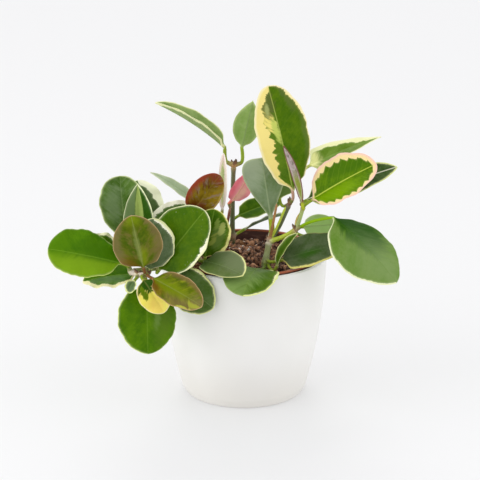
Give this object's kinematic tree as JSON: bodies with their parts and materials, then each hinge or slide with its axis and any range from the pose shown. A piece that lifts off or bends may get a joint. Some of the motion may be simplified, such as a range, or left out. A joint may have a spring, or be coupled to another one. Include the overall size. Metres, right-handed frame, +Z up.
{
  "type": "potted wax plant",
  "caption": "Variegated wax plant with waved, glossy leaves on short trailing stems, in a growing pot inside a white cover pot.",
  "frame": {"origin": "centre of the cover pot's flat base, on the surface that it stands on", "axes": "+Z up along the pot's axis, -Y towards the side that the picture shows, +X to that side's right"},
  "size_m": [0.2873, 0.1783, 0.2693],
  "materials": {
    "white_glaze": "satin white glaze",
    "brown_plastic": "thin moulded plastic, slightly dusty",
    "compost": "crumbly, with pale grains",
    "stem_skin": "smooth, grey-green with brown nodes",
    "leaf_green": "waxy, green with cream margins",
    "leaf_grey": "waxy, dusty grey-green with cream margins",
    "leaf_bronze": "waxy, young olive-bronze with pink margins",
    "leaf_cream": "waxy, mostly cream and yellow with green patches",
    "leaf_pink": "waxy, young pink with a yellow midrib"
  },
  "bodies": {
    "root": {"cover_pot": "white_glaze", "nursery_pot": "brown_plastic", "soil": "compost", "stem_right": "stem_skin", "stem_left": "stem_skin", "stem_left_rear": "stem_skin", "stem_middle": "stem_skin", "stem_back": "stem_skin", "stem_thin": "stem_skin", "leaf_left_young_upper": "leaf_bronze", "leaf_left_young_lower": "leaf_bronze", "leaf_left_grey": "leaf_grey", "leaf_left_big_upper": "leaf_green", "leaf_left_big_outer": "leaf_green", "leaf_left_under_outer": "leaf_green", "leaf_left_hanging": "leaf_green", "leaf_left_cream": "leaf_cream", "leaf_left_folded": "leaf_green", "leaf_left_low_inner": "leaf_grey", "leaf_left_rear_upper": "leaf_grey", "leaf_left_rear_inner": "leaf_grey", "leaf_left_upright": "leaf_green", "leaf_left_rear_low": "leaf_green", "leaf_left_back": "leaf_green", "leaf_middle_upright": "leaf_green", "leaf_middle_grey": "leaf_grey", "leaf_middle_red": "leaf_bronze", "leaf_middle_cream": "leaf_cream", "leaf_middle_pale": "leaf_cream", "leaf_middle_edge_on": "leaf_cream", "leaf_middle_back": "leaf_green", "leaf_back_top_left": "leaf_green", "leaf_back_top_right": "leaf_grey", "leaf_back_low_right": "leaf_green", "leaf_back_low_under": "leaf_grey", "leaf_back_pink": "leaf_pink", "leaf_right_grey": "leaf_grey", "leaf_right_half_yellow": "leaf_cream", "leaf_right_drooping": "leaf_green", "leaf_right_folded": "leaf_green", "leaf_right_pale_under": "leaf_grey", "leaf_right_on_rim": "leaf_green", "leaf_right_pink_edge": "leaf_green", "leaf_right_rolled": "leaf_bronze", "leaf_right_edge_on": "leaf_green", "leaf_right_behind_pink": "leaf_grey", "leaf_right_back": "leaf_green", "leaf_right_back_low": "leaf_green", "leaf_front_over_rim": "leaf_green"}
  },
  "joints": []
}
